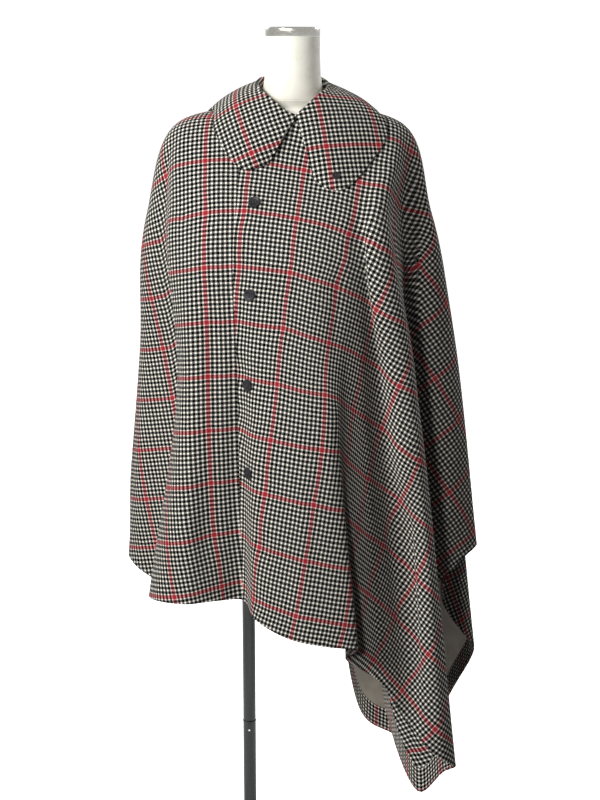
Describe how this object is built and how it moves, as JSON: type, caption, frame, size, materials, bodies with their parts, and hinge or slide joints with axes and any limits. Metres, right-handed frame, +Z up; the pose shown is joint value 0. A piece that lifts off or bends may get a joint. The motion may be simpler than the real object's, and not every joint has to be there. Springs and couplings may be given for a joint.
{
  "type": "cape coat on limbless dress form",
  "caption": "Checked wool cape coat with a wide turned-down collar and a lapped, buttoned front, one side cut to hang in corners, on a limbless dress form with pole and round plate.",
  "frame": {"origin": "centre of the round plate's underside, on the floor", "axes": "+Z up, -Y out of the garment's front, +X towards the wearer's left"},
  "size_m": [0.6939, 0.5289, 1.646],
  "materials": {
    "wool": "matte checked wool twill",
    "lining": "plain satin lining",
    "button": "dark, slightly glossy",
    "form": "smooth off-white, slight sheen",
    "cap": "polished",
    "steel": "dark grey metal"
  },
  "bodies": {
    "root": {"front_left": "wool", "front_right": "wool", "back_left": "wool", "back_right": "wool", "collar": "wool", "facing_front_left": "wool", "facing_back_left": "wool", "lining_back_left": "lining", "button_front_1": "button", "button_front_2": "button", "button_front_3": "button", "button_front_4": "button", "button_collar": "button", "torso": "form", "neck_cap": "cap", "pole_upper": "steel", "pole_lower": "steel", "pole_catch": "cap", "base": "steel"}
  },
  "joints": []
}
